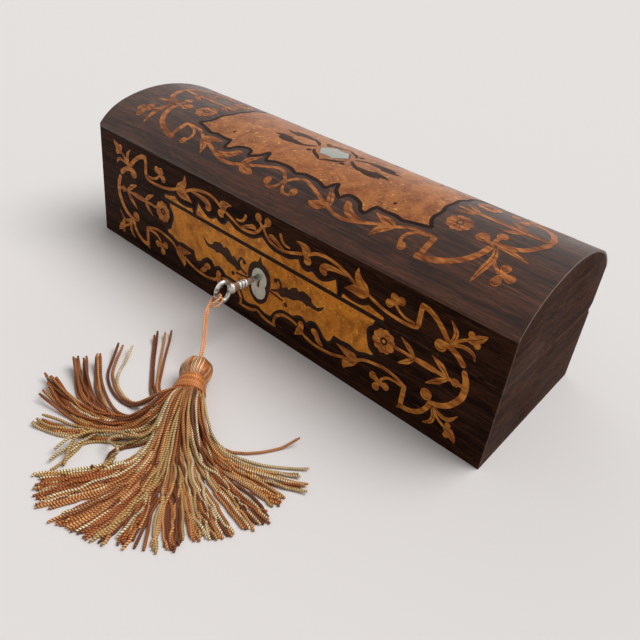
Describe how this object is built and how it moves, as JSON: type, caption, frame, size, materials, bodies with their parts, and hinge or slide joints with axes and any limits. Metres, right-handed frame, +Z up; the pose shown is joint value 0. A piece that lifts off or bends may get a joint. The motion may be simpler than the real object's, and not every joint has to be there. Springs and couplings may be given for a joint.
{
  "type": "antique glove box",
  "caption": "Long veneered box with a domed hinged lid, scrolling marquetry, a box lock and a barrel key with a tassel.",
  "frame": {"origin": "middle of the box's underside, on the surface it stands on", "axes": "+X along the box to the right as seen from the front, +Y from front to back, +Z up"},
  "size_m": [0.28, 0.2269, 0.0882],
  "materials": {
    "rosewood_marquetry": "satin polish, inlaid with pale and amber woods",
    "rosewood_plain": "worn satin polish",
    "pine_carcass": "bare, aged",
    "silk_lining": "silk over card",
    "silk_pad": "buttoned silk pad",
    "brass_fittings": "aged",
    "steel_inner": "filed",
    "steel_key": "polished, lightly worn",
    "pearl": "polished mother-of-pearl",
    "tassel_thread": "satin twisted rayon bullion",
    "tassel_cord_silk": "twisted silk",
    "tassel_core_wood": "bare"
  },
  "bodies": {
    "base": {"bottom_board": "pine_carcass", "base_front_board": "pine_carcass", "base_back_board": "pine_carcass", "base_left_end": "pine_carcass", "base_right_end": "pine_carcass", "base_front_veneer": "rosewood_marquetry", "base_back_veneer": "rosewood_plain", "base_left_veneer": "rosewood_plain", "base_right_veneer": "rosewood_plain", "lining_front": "silk_lining", "lining_back": "silk_lining", "lining_left": "silk_lining", "lining_right": "silk_lining", "floor_pad": "silk_pad", "hinge_left_base_leaf": "brass_fittings", "hinge_right_base_leaf": "brass_fittings", "hinge_left_pin": "brass_fittings", "hinge_right_pin": "brass_fittings", "hinge_screws_base": "brass_fittings", "lock_plate": "brass_fittings", "lock_cap": "brass_fittings", "lock_pin": "steel_inner", "lock_spring": "steel_inner", "lock_screws": "brass_fittings", "keyhole_escutcheon": "pearl"},
    "lid": {"lid_panel": "pine_carcass", "lid_front_rail": "pine_carcass", "lid_back_rail": "pine_carcass", "lid_left_end": "pine_carcass", "lid_right_end": "pine_carcass", "lid_top_veneer": "rosewood_marquetry", "lid_front_veneer": "rosewood_marquetry", "lid_back_veneer": "rosewood_plain", "lid_left_veneer": "rosewood_plain", "lid_right_veneer": "rosewood_plain", "lid_cartouche": "pearl", "lid_lining": "silk_lining", "hinge_left_lid_leaf": "brass_fittings", "hinge_right_lid_leaf": "brass_fittings", "hinge_screws_lid": "brass_fittings", "link_plate": "brass_fittings", "link_screws": "brass_fittings"},
    "bolt": {"lock_bolt": "steel_inner"},
    "tassel": {"tassel_cord": "tassel_cord_silk", "tassel_core": "tassel_core_wood", "tassel_head": "tassel_thread", "tassel_neck": "tassel_thread", "tassel_skirt": "tassel_thread"},
    "key": {"key": "steel_key"}
  },
  "joints": [
    {"name": "lid_hinge", "type": "hinge", "parent": "base", "child": "lid", "pos_m": [0, 0.0461, 0.04345], "axis": [-1, 0, 0], "range_deg": [0, 100]},
    {"name": "key_pull", "type": "slide", "parent": "base", "child": "tassel", "axis": [0, -1, 0], "range_m": [0, 0.02]},
    {"name": "key_turn", "type": "hinge", "parent": "tassel", "child": "key", "pos_m": [0, -0.06, 0.0293], "axis": [0, 1, 0], "range_deg": [0, 360], "deforming": ["tassel_cord"]},
    {"name": "bolt_throw", "type": "slide", "parent": "base", "child": "bolt", "axis": [1, 0, 0], "range_m": [0, 0.0055]}
  ],
  "couplings": [
    {"joint": "key_turn", "follows": "bolt_throw", "rad_per_m": 1142}
  ]
}
